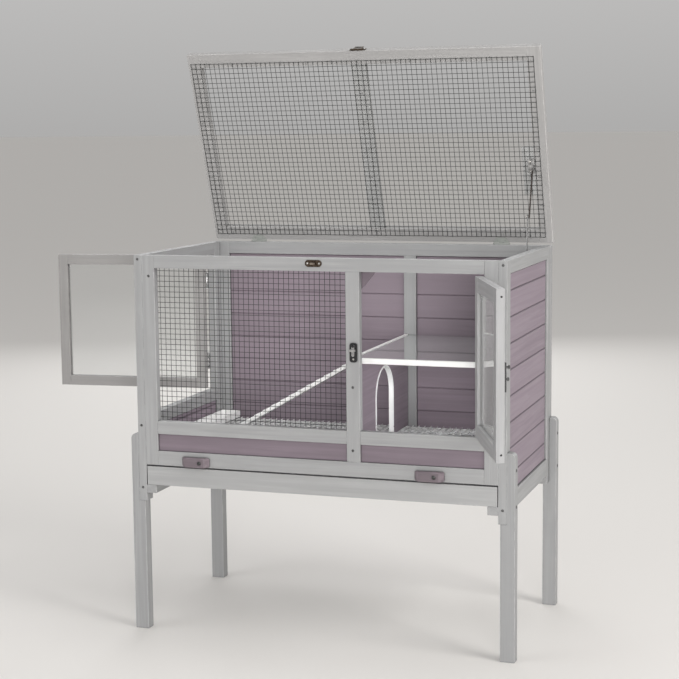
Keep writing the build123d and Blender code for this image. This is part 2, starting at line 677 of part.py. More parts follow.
# ---------------------------------------------------------------- lid catch
CATCH_Z = 909.0
CATCH_PLATE_T = 1.5
CATCH_NECK = 4.9
with BuildPart() as catch_plate:
    with BuildSketch(Plane.XZ.offset(-FRONT)):
        with Locations((0, CATCH_Z)):
            SlotOverall(41, 16)
    extrude(amount=CATCH_PLATE_T)
    chamfer(catch_plate.faces().sort_by(Axis.Y)[0].edges(), 0.5)
save(catch_plate, "catch_plate")

with BuildPart() as catch_knob:
    with Locations(Location((0, FRONT - CATCH_PLATE_T, CATCH_Z), (90, 0, 0))):
        Cylinder(1.8, CATCH_NECK + 1, align=STANDING)
    with BuildSketch(Plane.XZ.offset(-FRONT + CATCH_PLATE_T + CATCH_NECK)):
        with Locations((0, CATCH_Z)):
            SlotOverall(12, 4.4)
    extrude(amount=3)
save(catch_knob, "catch_knob")

HASP_PIN = (LID_FAR - 4.0, 0.5)          # local Y and Z of the hasp's pin on the lid
HASP_PIN_R = 0.9
with BuildPart(LID) as hasp_plate:
    board((-20, 20), (LID_FAR - 1.2, LID_FAR), (3, 18))
    for ear_x in ((-16, -12), (12, 16)):
        board(ear_x, (HASP_PIN[0], LID_FAR - 0.6), (HASP_PIN[1] + 0.8, 4))
        with Locations(Location(((ear_x[0] + ear_x[1]) / 2, *HASP_PIN), (0, 90, 0))):
            Cylinder(1.8, 4)
    with Locations(Location((0, *HASP_PIN), (0, 90, 0))):
        Cylinder(HASP_PIN_R, 33)
save(hasp_plate, "hasp_plate")

TONGUE_Y = (HASP_PIN[0] + 0.8, HASP_PIN[0] + 2.0)
with BuildPart(LID) as hasp:
    board((-11.5, 11.5), TONGUE_Y, (HASP_PIN[1], 26))
    with Locations(Location((0, *HASP_PIN), (0, 90, 0))):
        Cylinder(1.8, 23)
        Cylinder(HASP_PIN_R + RUNNING, 24, mode=Mode.SUBTRACT)
    with Locations((0, TONGUE_Y[0], HASP_PIN[1] + 15)):
        Box(14, 6, 6.4, mode=Mode.SUBTRACT)
save(hasp, "hasp")

# ---------------------------------------------------------------- folding stay
STAY_FOOT = (129.0, 912.0)               # Y and Z of the lower pivot, on the right top rail
STAY_HEAD = (-205.0, -12.5)              # local Y and Z of the upper pivot, on the lid
LOWER_LINK = 88.0
UPPER_LINK = 118.5
LINK_T = 2.0
LINK_W = 9.0
LOWER_LINK_X = 417.0                     # near face of the lower link
UPPER_LINK_X = 420.5                     # near face of the upper link
RIVET_R = 2.0

stay_head = LID.from_local_coords((0, *STAY_HEAD))
STAY_SPAN = hypot(stay_head.Y - STAY_FOOT[0], stay_head.Z - STAY_FOOT[1])
STAY_LEAN = degrees(atan2(stay_head.Z - STAY_FOOT[1], stay_head.Y - STAY_FOOT[0]))
FOOT_COSINE = (LOWER_LINK**2 + STAY_SPAN**2 - UPPER_LINK**2) / (2 * LOWER_LINK * STAY_SPAN)
LOWER_ANGLE = STAY_LEAN + degrees(acos(FOOT_COSINE))
ELBOW = (
    STAY_FOOT[0] + LOWER_LINK * cos(radians(LOWER_ANGLE)),
    STAY_FOOT[1] + LOWER_LINK * sin(radians(LOWER_ANGLE)),
)


def stay_link(near_x, start, end, node, rivet):
    """A flat link with round ends, from its running pivot to its elbow end."""
    length = hypot(end[0] - start[0], end[1] - start[1])
    along = (0, (end[0] - start[0]) / length, (end[1] - start[1]) / length)
    plane = Plane(origin=(near_x, *start), x_dir=along, z_dir=(1, 0, 0))
    with BuildPart(plane) as link:
        with BuildSketch(plane):
            with Locations((length / 2, 0)):
                SlotOverall(length + LINK_W, LINK_W)
            Circle(RIVET_R + RUNNING, mode=Mode.SUBTRACT)
        extrude(amount=LINK_T)
        if rivet:
            with Locations((length, 0, -1.6)):
                Cylinder(3.6, 2, align=STANDING)
        else:
            with Locations((length, 0, 0)):
                Hole(RIVET_R)
    save(link, node)


stay_link(LOWER_LINK_X, STAY_FOOT, ELBOW, "stay_lower_link", True)
stay_link(UPPER_LINK_X, (stay_head.Y, stay_head.Z), ELBOW, "stay_upper_link", False)

with BuildPart() as stay_rail_bracket:
    board((SIDE_IN - 2, SIDE_IN), (STAY_FOOT[0] - 9, STAY_FOOT[0] + 9), (894, 920))
    with Locations(Location((SIDE_IN, *STAY_FOOT), (0, -90, 0))):
        Cylinder(RIVET_R, SIDE_IN - LOWER_LINK_X + 1, align=STANDING)
        with Locations((0, 0, SIDE_IN - LOWER_LINK_X - LINK_T - 1.2)):
            Cylinder(3.4, 0.9, align=STANDING)
        with Locations((0, 0, SIDE_IN - LOWER_LINK_X + SLIP)):
            Cone(3.6, 2.6, 1.3, align=STANDING)
save(stay_rail_bracket, "stay_rail_bracket")

with BuildPart(LID) as stay_lid_bracket:
    flange_x = (UPPER_LINK_X + LINK_T + 0.5, UPPER_LINK_X + LINK_T + 2)
    plate_y = (STAY_HEAD[0] - 24, STAY_HEAD[0] + 14)
    board((flange_x[1] - 16, flange_x[1]), plate_y, (LID_MESH_BOTTOM - 1.5, LID_MESH_BOTTOM))
    board(flange_x, (STAY_HEAD[0] - 6, STAY_HEAD[0] + 6), (STAY_HEAD[1] - 5.5, LID_MESH_BOTTOM))
    with Locations(Location((flange_x[1], *STAY_HEAD), (0, -90, 0))):
        Cylinder(RIVET_R, flange_x[1] - UPPER_LINK_X + 1, align=STANDING)
        with Locations((0, 0, flange_x[1] - UPPER_LINK_X + SLIP)):
            Cone(3.6, 2.6, 1.3, align=STANDING)
save(stay_lid_bracket, "stay_lid_bracket")

# ---------------------------------------------------------------- frame screws
SCREW_R = 3.2
FACE_SCREWS = (
    (-447.5, 912.0),
    (-447.5, 508.0),
    (-447.5, 355.0),
    (447.5, 912.0),
    (447.5, 508.0),
    (447.5, 355.0),
    (-419.0, 872.0),
    (420.0, 872.0),
    (93.0, 623.0),
    (92.0, 474.0),
)
with BuildPart() as frame_screws:
    front_places = [Location((x, FRONT, z), (90, 0, 0)) for x, z in FACE_SCREWS]
    screw_heads(front_places, SCREW_R, 1.0)
    for side in (-1, 1):
        for leg_y in (FRONT + LEG_D / 2, BACK - LEG_D / 2):
            cheek = [Location((side * LEG_X[1], leg_y, z), (0, side * 90, 0)) for z in (362, 446)]
            screw_heads(cheek, 4.2, 1.4)
save(frame_screws, "frame_screws")

print("lower link angle at rest", round(LOWER_ANGLE, 3))
print("elbow", [round(value, 2) for value in ELBOW])
print("upper pivot", [round(value, 2) for value in stay_head])
print("ramp length", round(RAMP_LENGTH, 1))
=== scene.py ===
"""Looks of the hamster cage: painted timber, wire mesh, clear panes and plated fittings."""
import json
import math

import bmesh
import bpy
from mathutils import Matrix, Vector


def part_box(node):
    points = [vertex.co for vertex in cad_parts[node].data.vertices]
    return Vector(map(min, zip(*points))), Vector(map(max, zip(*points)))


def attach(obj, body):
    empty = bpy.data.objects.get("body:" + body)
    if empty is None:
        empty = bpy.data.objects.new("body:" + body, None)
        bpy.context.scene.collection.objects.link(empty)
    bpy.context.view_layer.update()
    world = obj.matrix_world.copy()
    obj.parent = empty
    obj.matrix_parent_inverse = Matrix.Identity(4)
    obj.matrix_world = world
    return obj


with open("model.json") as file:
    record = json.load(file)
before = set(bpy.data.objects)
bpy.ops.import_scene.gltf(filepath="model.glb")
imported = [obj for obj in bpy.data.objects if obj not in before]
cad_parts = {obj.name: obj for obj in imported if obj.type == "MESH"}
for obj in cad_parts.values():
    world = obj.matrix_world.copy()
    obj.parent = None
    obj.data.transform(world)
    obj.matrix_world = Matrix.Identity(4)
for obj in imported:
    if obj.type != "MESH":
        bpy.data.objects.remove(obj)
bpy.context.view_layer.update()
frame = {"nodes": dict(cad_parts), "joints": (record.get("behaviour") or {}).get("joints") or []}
NODES = frame["nodes"]

# ---------------------------------------------------------------- driving values
# How far each panel stands open at rest.
LID_OPEN = math.radians(70.0)
FRONT_DOOR_OPEN = math.radians(112.4)
SIDE_DOOR_OPEN = math.radians(84.2)

GROOVE_PITCH = 0.0605            # height of a wall board
FIRST_GROOVE = 0.4275            # height of the lowest joint between wall boards

CAMERA_PLACE = Vector((1.2609, -3.7993, 1.2154))
CAMERA_YAW = math.radians(18.685)
CAMERA_PITCH = math.radians(-7.331)
CAMERA_ROLL = math.radians(-0.5875)
CAMERA_LENS = 86.6
CAMERA_SENSOR = 36.0
CAMERA_FAR = 1000.0              # how far the camera sees, past the end of the floor
FLOOR_HALF = 400.0

JOINT_REACH = 0.005              # width of the joints that gather shade
MESH_REACH = 0.0008              # the same on timber behind the lid's mesh
FRONT_FACE = -0.254              # front face of the body

STAPLE_HALF = 0.0045             # half the length of a staple's crown
STAPLE_WIDE = 0.0004             # half the width of its wire
STAPLE_THICK = 0.00016           # half the thickness of its wire
STAPLE_LEG = 0.0028
STAPLE_PITCH = 0.075
STAPLE_PITCH_ACROSS = 0.067
STAPLE_CROWN = -0.0012           # under the lid's mesh
LID_STAPLE_X = (-0.441, -0.002, 0.437)
LID_STAPLE_Y = (-0.487, -0.022)
LID_RUN_X = (-0.405, 0.400)      # ends of the rows along the lid's rails
LID_RUN_Y = (-0.480, -0.030)     # ends of the rows along the lid's stiles
WINDOW_INSET = 0.004             # from the window mesh's edge to its staples
WINDOW_END = 0.03                # from the mesh's corner to the first staple
WINDOW_COVER = 0.0006            # crown of a staple over the window's wires

TONGUE_HALF = 0.002
LID_HINGE_X = (-0.335, 0.325)
LEAF_END = 0.022                 # from the end of a door's leaf to its middle
DOOR_LEAF = (0.0125, 0.013, 0.0023)      # reach, spacing and seat of a door leaf's screws
LID_LEAF = (0.009, 0.010, 0.0003)        # the same of a lid leaf's screws
LID_SCREW = (0.0019, 0.0002)             # radius and height: thin enough for the shut lid
HASP_FACE = -0.5152              # the lid's front edge, in the lid's own frame
CAP_SEAT = 0.4169                # base of the elbow's cap, 0.1 mm off the lower link's face
STAY_END = 0.0045                # from the lower link's end to its elbow

JOINTS = {joint["name"]: joint for joint in frame["joints"]}
LID_Y = Vector((0, math.cos(LID_OPEN), -math.sin(LID_OPEN)))
LID_OUT = Vector((0, math.sin(LID_OPEN), math.cos(LID_OPEN)))

# Turns that bring a tilted body's own axes back onto X, Y and Z.
SQUARE = (0, 0, 0)
LID_TURN = (LID_OPEN, 0, 0)
FRONT_DOOR_TURN = (0, 0, -FRONT_DOOR_OPEN)
SIDE_DOOR_TURN = (0, 0, SIDE_DOOR_OPEN)

SKY_LOW = 0.43
SKY_HIGH = 0.53

GREY_PAINT = (0.335, 0.337, 0.34)
# The frame's grey, made lighter on the tray board as painted light.
LIT_TRAY_PAINT = (0.375, 0.377, 0.378)
LEG_PAINT = (0.322, 0.324, 0.328)
# The frame's grey, made lighter on the lid as painted light.
LIT_LID_PAINT = (0.395, 0.389, 0.385)
# Lighter still on the lid's centre bar and stay block: painted light against the shadow of the lid's mesh.
LIT_LID_INNER = (0.41, 0.413, 0.41)
# The frame's grey, made lighter on the front door as painted light.
LIT_DOOR_PAINT = (0.37, 0.37, 0.375)
SHADED_PAINT = (0.293, 0.285, 0.28)
MAUVE_PAINT = (0.198, 0.160, 0.188)
# The front strips' mauve, made lighter inside the cage as painted light for the dimmer light there.
LIT_MAUVE_INNER = (0.232, 0.190, 0.221)
# The front strips' mauve, made lighter on the side walls as painted light.
LIT_MAUVE_SIDING = (0.258, 0.209, 0.248)
MAUVE_BUTTON = (0.158, 0.129, 0.145)
RAW_TIMBER = (0.40, 0.40, 0.385)


# ---------------------------------------------------------------- shader helpers
class Shader:
    """A new material with one Principled shader, and short calls that add nodes to it."""

    def __init__(self, name):
        self.material = bpy.data.materials.new(name)
        self.material.use_nodes = True
        self.tree = self.material.node_tree
        self.base = self.tree.nodes["Principled BSDF"]
        self.coords = self.add("ShaderNodeTexCoord")

    def add(self, kind, **settings):
        node = self.tree.nodes.new(kind)
        for key, value in settings.items():
            setattr(node, key, value)
        return node

    def link(self, source, target):
        self.tree.links.new(source, target)

    def mapping(self, source, turn=SQUARE, scale=(1, 1, 1), place=(0, 0, 0), kind="POINT"):
        node = self.add("ShaderNodeMapping", vector_type=kind)
        node.inputs["Rotation"].default_value = turn
        node.inputs["Scale"].default_value = scale
        if kind == "POINT":
            node.inputs["Location"].default_value = place
        self.link(source, node.inputs["Vector"])
        return node.outputs["Vector"]

    def noise(self, vector, scale, detail=4.0, roughness=0.55, distortion=0.0):
        node = self.add("ShaderNodeTexNoise")
        node.inputs["Scale"].default_value = scale
        node.inputs["Detail"].default_value = detail
        node.inputs["Roughness"].default_value = roughness
        node.inputs["Distortion"].default_value = distortion
        self.link(vector, node.inputs["Vector"])
        return node.outputs["Fac"]

    def math(self, operation, a, b=0.0, c=0.0):
        node = self.add("ShaderNodeMath", operation=operation)
        for socket, value in zip(node.inputs, (a, b, c)):
            if isinstance(value, (int, float)):
                socket.default_value = value
            else:
                self.link(value, socket)
        return node.outputs["Value"]

    def remap(self, value, low, high, to_low=0.0, to_high=1.0):
        node = self.add("ShaderNodeMapRange", interpolation_type="SMOOTHSTEP")
        self.link(value, node.inputs["Value"])
        node.inputs["From Min"].default_value = low
        node.inputs["From Max"].default_value = high
        node.inputs["To Min"].default_value = to_low
        node.inputs["To Max"].default_value = to_high
        return node.outputs["Result"]

    def mix(self, factor, a, b, blend="MIX"):
        node = self.add("ShaderNodeMix", data_type="RGBA", blend_type=blend)
        self.link(factor, node.inputs["Factor"])
        for index, value in ((6, a), (7, b)):
            if isinstance(value, tuple):
                node.inputs[index].default_value = (*value, 1.0)
            else:
                self.link(value, node.inputs[index])
        return node.outputs[2]

    def bump(self, height, strength, distance):
        node = self.add("ShaderNodeBump")
        node.inputs["Strength"].default_value = strength
        node.inputs["Distance"].default_value = distance
        self.link(height, node.inputs["Height"])
        self.link(node.outputs["Normal"], self.base.inputs["Normal"])

    def openness(self, reach):
        """1 on open faces, falling to 0 in joints and corners narrower than the reach."""
        node = self.add("ShaderNodeAmbientOcclusion", samples=6)
        node.inputs["Distance"].default_value = reach
        return node.outputs["AO"]

    def split(self, vector):
        node = self.add("ShaderNodeSeparateXYZ")
        self.link(vector, node.inputs["Vector"])
        return node.outputs


def scaled(colour, factor):
    """A colour made lighter or darker."""
    return tuple(min(1.0, channel * factor) for channel in colour)


# ---------------------------------------------------------------- materials
def painted_timber(name, colour, grain, turn=SQUARE, stack=None, groove_shade=0.6, reach=JOINT_REACH):
    """Thin satin paint over softwood: grain along one axis, cloudy tone, worn arrises.

    stack names the axis that separate boards are stacked along, so that each has its own tone;
    on such boards the chamfered arrises of the grooves are darkened as painted shade, not worn.
    The argument after stack sets how much painted shade darkens those grooves and the joints
    between the boards, and reach is the width of the joints that gather painted shade.
    """
    s = Shader(name)
    flat = s.mapping(s.coords.outputs["Object"], turn)
    stretch = [75.0, 75.0, 75.0]
    stretch["XYZ".index(grain)] = 2.4
    streaks = s.noise(s.mapping(flat, scale=stretch), 1.0, 6.0, 0.62, 0.5)
    fine_stretch = [420.0, 420.0, 420.0]
    fine_stretch["XYZ".index(grain)] = 9.0
    fibres = s.noise(s.mapping(flat, scale=fine_stretch), 1.0, 3.0, 0.6)
    clouds = s.noise(flat, 6.0, 3.0, 0.55)
    tone = s.mix(s.remap(streaks, 0.34, 0.66), scaled(colour, 0.90), scaled(colour, 1.07))
    tone = s.mix(s.remap(clouds, 0.38, 0.66, 0.0, 0.75), tone, scaled(colour, 0.93))
    tone = s.mix(s.remap(fibres, 0.60, 0.80, 0.0, 0.45), tone, scaled(colour, 0.70))
    if stack is not None:
        height = s.split(flat)["XYZ".index(stack)]
        course = s.math("FLOOR", s.math("DIVIDE", s.math("SUBTRACT", height, FIRST_GROOVE), GROOVE_PITCH))
        chance = s.add("ShaderNodeTexWhiteNoise", noise_dimensions="1D")
        s.link(course, chance.inputs["W"])
        tone = s.mix(s.math("MULTIPLY", chance.outputs["Value"], 0.5), tone, scaled(colour, 1.12))
    # Arrises face between the axes. On single pieces the paint there is rubbed thin; on stacked wall boards
    # the chamfers of the grooves are darkened as painted shade.
    normal = s.split(s.mapping(s.coords.outputs["Normal"], turn, kind="VECTOR"))
    squareness = s.math("MAXIMUM", s.math("ABSOLUTE", normal[0]), s.math("ABSOLUTE", normal[1]))
    squareness = s.math("MAXIMUM", squareness, s.math("ABSOLUTE", normal[2]))
    arris = s.remap(squareness, 0.97, 0.80)
    if stack is None:
        rubbed = s.remap(s.noise(flat, 38.0, 4.0, 0.6), 0.42, 0.62, 0.25, 0.9)
        tone = s.mix(s.math("MULTIPLY", arris, rubbed), tone, scaled(colour, 1.45))
    else:
        tone = s.mix(s.math("MULTIPLY", arris, groove_shade), tone, scaled(colour, 0.45))
    # Painted shade: joints, corners and timber beside the wires are darkened by how enclosed they are, as
    # ambient occlusion would shade them.
    joint = s.remap(s.openness(reach), 0.15, 0.75 if stack else 0.92, 1.0, 0.0)
    tone = s.mix(s.math("MULTIPLY", joint, min(0.9, groove_shade + 0.3)), tone, scaled(colour, 0.22))
    s.link(tone, s.base.inputs["Base Color"])
    s.link(s.remap(streaks, 0.2, 0.8, 0.60, 0.42), s.base.inputs["Roughness"])
    s.base.inputs["Specular IOR Level"].default_value = 0.42
    relief = s.math("ADD", s.math("MULTIPLY", streaks, 0.7), s.math("MULTIPLY", fibres, 0.3))
    s.bump(relief, 0.4, 0.0008)
    return s.material


def gloss_sheet(name, colour):
    """Grey plastic-faced board with a sheen, faint scuffs and a slight waviness."""
    s = Shader(name)
    wear = s.noise(s.mapping(s.coords.outputs["Object"], scale=(9.0, 30.0, 9.0)), 1.0, 5.0, 0.6)
    tone = s.mix(s.remap(wear, 0.35, 0.7), scaled(colour, 0.9), scaled(colour, 1.08))
    s.link(tone, s.base.inputs["Base Color"])
    s.link(s.remap(wear, 0.3, 0.8, 0.02, 0.09), s.base.inputs["Roughness"])
    s.base.inputs["Specular IOR Level"].default_value = 1.0
    s.base.inputs["Coat Weight"].default_value = 1.0
    s.base.inputs["Coat IOR"].default_value = 1.9
    s.base.inputs["Coat Roughness"].default_value = 0.03
    wave = s.noise(s.coords.outputs["Object"], 12.0, 2.0, 0.4)
    s.bump(wave, 0.03, 0.002)
    return s.material


def moulding(name, colour, roughness):
    """Smooth moulded plastic with faint flow marks and dust."""
    s = Shader(name)
    flow = s.noise(s.coords.outputs["Object"], 22.0, 3.0, 0.5)
    tone = s.mix(s.remap(flow, 0.3, 0.7), scaled(colour, 0.94), scaled(colour, 1.03))
    s.link(tone, s.base.inputs["Base Color"])
    grain = s.noise(s.coords.outputs["Object"], 900.0, 2.0, 0.5)
    s.link(s.remap(grain, 0.2, 0.8, roughness - 0.06, roughness + 0.08), s.base.inputs["Roughness"])
    s.bump(grain, 0.12, 0.0002)
    return s.material


def coated_wire(name, colour, roughness):
    """Wire dipped in a thick coat: uneven tone, tiny beads of coating."""
    s = Shader(name)
    patch = s.noise(s.coords.outputs["Object"], 60.0, 3.0, 0.5)
    tone = s.mix(s.remap(patch, 0.35, 0.7), scaled(colour, 0.75), scaled(colour, 1.3))
    s.link(tone, s.base.inputs["Base Color"])
    s.link(s.remap(patch, 0.2, 0.8, roughness, roughness + 0.15), s.base.inputs["Roughness"])
    beads = s.noise(s.coords.outputs["Object"], 700.0, 2.0, 0.5)
    s.bump(beads, 0.2, 0.0003)
    return s.material


def plated(name, colour, roughness, worn):
    """Plated metal: brushed haze, darker tarnish in blotches, brighter where it's rubbed."""
    s = Shader(name)
    s.base.inputs["Metallic"].default_value = 1.0
    blotch = s.noise(s.coords.outputs["Object"], 130.0, 5.0, 0.6)
    tone = s.mix(s.remap(blotch, 0.35, 0.68), colour, scaled(colour, 0.42))
    scratch_place = s.mapping(s.coords.outputs["Object"], scale=(250.0, 1800.0, 1800.0))
    scratch = s.noise(scratch_place, 1.0, 2.0, 0.5)
    tone = s.mix(s.remap(scratch, 0.6, 0.75, 0.0, 0.6), tone, worn)
    s.link(tone, s.base.inputs["Base Color"])
    s.link(s.remap(blotch, 0.2, 0.8, roughness, roughness + 0.2), s.base.inputs["Roughness"])
    s.bump(scratch, 0.15, 0.0001)
    return s.material


def half_painted(name, metal, paint):
    """Hinge leaves: bare plated metal at the side, painted over with the timber at the front."""
    s = Shader(name)
    painted = s.remap(s.split(s.coords.outputs["Object"])[1], -0.21, -0.23)
    blotch = s.noise(s.coords.outputs["Object"], 130.0, 5.0, 0.6)
    bare = s.mix(s.remap(blotch, 0.35, 0.65), metal, scaled(metal, 0.3))
    film = s.mix(s.remap(blotch, 0.3, 0.7), scaled(paint, 0.95), scaled(paint, 1.04))
    s.link(s.mix(painted, bare, film), s.base.inputs["Base Color"])
    s.link(s.math("SUBTRACT", 1.0, painted), s.base.inputs["Metallic"])
    s.link(s.remap(painted, 0.0, 1.0, 0.28, 0.5), s.base.inputs["Roughness"])
    s.bump(blotch, 0.2, 0.0002)
    return s.material


def enamel(name, colour):
    """Black powder coat with orange peel."""
    s = Shader(name)
    peel = s.noise(s.coords.outputs["Object"], 1100.0, 2.0, 0.5)
    patch = s.noise(s.coords.outputs["Object"], 90.0, 3.0, 0.5)
    s.link(s.mix(patch, scaled(colour, 0.7), scaled(colour, 1.6)), s.base.inputs["Base Color"])
    s.link(s.remap(peel, 0.2, 0.8, 0.3, 0.45), s.base.inputs["Roughness"])
    s.bump(peel, 0.25, 0.0002)
    return s.material


def galvanised(name, colour):
    """Zinc-coated sheet with faint spangle."""
    s = Shader(name)
    s.base.inputs["Metallic"].default_value = 0.85
    cells = s.add("ShaderNodeTexVoronoi")
    cells.inputs["Scale"].default_value = 70.0
    s.link(s.coords.outputs["Object"], cells.inputs["Vector"])
    level = s.split(cells.outputs["Color"])[0]
    s.link(s.mix(level, scaled(colour, 0.86), scaled(colour, 1.08)), s.base.inputs["Base Color"])
    s.link(s.remap(level, 0.0, 1.0, 0.38, 0.52), s.base.inputs["Roughness"])
    return s.material


def clear_sheet(name):
    """Clear acrylic with faint smears."""
    s = Shader(name)
    smear = s.noise(s.mapping(s.coords.outputs["Object"], scale=(6.0, 6.0, 2.0)), 1.0, 4.0, 0.6)
    s.base.inputs["Base Color"].default_value = (0.93, 0.95, 0.95, 1.0)
    s.base.inputs["IOR"].default_value = 1.49
    s.base.inputs["Transmission Weight"].default_value = 1.0
    s.link(s.remap(smear, 0.3, 0.8, 0.0, 0.05), s.base.inputs["Roughness"])
    s.link(s.remap(smear, 0.45, 0.8, 0.50, 0.58), s.base.inputs["Alpha"])
    return s.material


def dress(material, *names):
    """Give CAD nodes a finished material."""
    for name in names:
        for material_slot in NODES[name].material_slots:
            material_slot.material = material


def dress_timber():
    """Every board, with its grain along its own length."""
    dress(painted_timber("grey_upright", GREY_PAINT, "Z"), "side_posts", "front_stiles",
          "front_centre_post", "back_stiles")
    dress(painted_timber("grey_across", GREY_PAINT, "X"), "front_rails", "back_rails")
    dress(painted_timber("tray_paint", LIT_TRAY_PAINT, "X"), "tray_front_board")
    dress(painted_timber("grey_deep", GREY_PAINT, "Y"), "side_rails", "tray_runners")
    dress(painted_timber("leg_paint", LEG_PAINT, "Z"), "front_legs", "back_legs")
    dress(painted_timber("inner_strips", RAW_TIMBER, "X"), "inner_ledges")
    dress(painted_timber("siding_deep", LIT_MAUVE_SIDING, "Y", stack="Z"), "right_wall_boards", "left_low_boards")
    dress(painted_timber("siding_across", LIT_MAUVE_INNER, "X", stack="Z", groove_shade=0.05),
          "back_wall_boards")
    dress(painted_timber("mauve_across", MAUVE_PAINT, "X"), "front_strip_panels", "front_gussets")
    dress(painted_timber("button_paint", MAUVE_BUTTON, "X"), "turn_button_left", "turn_button_right")
    dress(painted_timber("mauve_deep", LIT_MAUVE_INNER, "Y"), "arch_partition")
    dress(gloss_sheet("shelf_sheet", (0.42, 0.445, 0.435)), "shelf")
    dress(painted_timber("lid_along", LIT_LID_PAINT, "Y", LID_TURN, reach=MESH_REACH), "lid_stiles")
    dress(painted_timber("lid_inner", LIT_LID_INNER, "Y", LID_TURN, reach=MESH_REACH), "lid_centre_bar",
          "stay_block")
    dress(painted_timber("lid_across", LIT_LID_PAINT, "X", LID_TURN, reach=MESH_REACH), "lid_front_rail",
          "lid_back_rail")
    dress(painted_timber("front_door_upright", LIT_DOOR_PAINT, "Z", FRONT_DOOR_TURN), "front_door_stiles")
    dress(painted_timber("front_door_across", LIT_DOOR_PAINT, "X", FRONT_DOOR_TURN), "front_door_rails")
    dress(painted_timber("side_door_upright", SHADED_PAINT, "Z", SIDE_DOOR_TURN), "side_door_stiles")
    dress(painted_timber("side_door_across", SHADED_PAINT, "Y", SIDE_DOOR_TURN), "side_door_rails")


def dress_fittings():
    """Wire, plastic, panes and metal."""
    dress(coated_wire("black_wire_coat", (0.012, 0.014, 0.014), 0.42), "window_mesh", "lid_mesh")
    dress(coated_wire("white_wire_coat", (0.80, 0.80, 0.80), 0.3), "floor_grid")
    dress(moulding("white_moulding", (0.93, 0.93, 0.925), 0.35), "shelf_edging", "arch_trim", "corner_tray")
    dress(moulding("white_ramp", (0.92, 0.92, 0.915), 0.45), "ramp", "ramp_treads")
    dress(galvanised("tray_sheet", (0.60, 0.61, 0.62)), "tray_pan")
    dress(clear_sheet("acrylic"), "front_door_pane", "side_door_pane")
    dress(plated("zinc", (0.62, 0.62, 0.62), 0.18, (0.9, 0.9, 0.9)), "stay_lower_link",
          "stay_rail_bracket", "stay_lid_bracket", "post_latch_lever")
    dress(plated("dull_zinc", (0.66, 0.66, 0.66), 0.16, (0.95, 0.95, 0.95)), "side_door_moving_leaves")
    dress(half_painted("painted_leaves", (0.66, 0.66, 0.66), GREY_PAINT), "door_fixed_leaves",
          "front_door_moving_leaves")
    dress(plated("tarnished_steel", (0.13, 0.105, 0.095), 0.3, (0.5, 0.45, 0.42)), "stay_upper_link")
    dress(plated("antique_bronze", (0.105, 0.078, 0.058), 0.3, (0.6, 0.5, 0.4)), "catch_plate",
          "hasp_plate", "hasp")
    dress(plated("rubbed_bronze", (0.55, 0.46, 0.38), 0.22, (0.8, 0.72, 0.6)), "catch_knob")
    dress(moulding("overpainted_zinc", (0.345, 0.36, 0.34), 0.42), "lid_fixed_leaves",
          "lid_moving_leaves")
    dress(plated("dark_zinc", (0.16, 0.16, 0.16), 0.35, (0.5, 0.5, 0.5)), "frame_screws",
          "turn_button_screws", "door_latch_studs")
    dress(enamel("black_coat", (0.010, 0.010, 0.011)), "post_latch_plate", "door_latch_plate")


# ---------------------------------------------------------------- small added pieces
def new_piece(name, body, material, builder, smooth=True):
    """Make a piece with a mesh builder, and let it ride a body."""
    shape = bmesh.new()
    builder(shape)
    bmesh.ops.recalc_face_normals(shape, faces=shape.faces)
    mesh = bpy.data.meshes.new(name)
    shape.to_mesh(mesh)
    shape.free()
    for face in mesh.polygons:
        face.use_smooth = smooth
    piece = bpy.data.objects.new(name, mesh)
    bpy.context.scene.collection.objects.link(piece)
    mesh.materials.append(material)
    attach(piece, body)


def lathe(shape, place, outward, profile, segments=16):
    """Turn a profile of (radius, height) points round the outward direction at a place."""
    turn = Vector(outward).to_track_quat("Z", "Y").to_matrix()
    rings = []
    for radius, height in profile:
        ring = []
        for step in range(segments):
            angle = 2 * math.pi * step / segments
            point = Vector((radius * math.cos(angle), radius * math.sin(angle), height))
            ring.append(shape.verts.new(Vector(place) + turn @ point))
        rings.append(ring)
    for low, high in zip(rings, rings[1:]):
        for step in range(segments):
            after = (step + 1) % segments
            shape.faces.new((low[step], low[after], high[after], high[step]))
    shape.faces.new(rings[0])
    shape.faces.new(rings[-1])


def screws(name, body, slot, material, places, radius=0.0021, height=0.0010):
    """Domed screw heads with a socket, each at a (place, outward) pair."""
    profile = [(radius, 0.0), (radius, 0.2 * height), (0.86 * radius, 0.66 * height),
               (0.6 * radius, height), (0.34 * radius, height), (0.3 * radius, 0.35 * height)]

    def build(shape):
        for place, outward in places:
            lathe(shape, place, outward, profile)

    new_piece(name, body, material, build)


def prism(shape, start, end, up, half, thick):
    """A bar from start to end, with half its width across and half its thickness along up."""
    start, end, up = Vector(start), Vector(end), Vector(up)
    along = (end - start).normalized()
    side = along.cross(up).normalized() * half
    lift = side.cross(along).normalized() * thick
    corners = ((-1, -1), (1, -1), (1, 1), (-1, 1))
    rings = []
    for middle in (start, end):
        rings.append([shape.verts.new(middle + a * side + b * lift) for a, b in corners])
    for step in range(4):
        after = (step + 1) % 4
        shape.faces.new((rings[0][step], rings[0][after], rings[1][after], rings[1][step]))
    shape.faces.new(rings[0])
    shape.faces.new(rings[1])


def staple(shape, place, along, inward):
    """A staple over a wire: its crown lies along one direction and its legs go into the timber."""
    place, along, inward = Vector(place), Vector(along), Vector(inward)
    ends = (place - along * STAPLE_HALF, place + along * STAPLE_HALF)
    prism(shape, ends[0], ends[1], inward, STAPLE_WIDE, STAPLE_THICK)
    for end in ends:
        prism(shape, end, end + inward * STAPLE_LEG, along, STAPLE_WIDE, STAPLE_THICK)


def spread(low, high, step):
    """Evenly spaced values between two limits, about a step apart."""
    count = max(1, round((high - low) / step))
    return [low + (high - low) * index / count for index in range(count + 1)]


def lid_point(x, y, z):
    """A point given in the lid's own frame, at rest."""
    pin = Vector(JOINTS["lid_hinge"]["pos_m"])
    return pin + Vector((x, 0, 0)) + y * LID_Y + z * LID_OUT


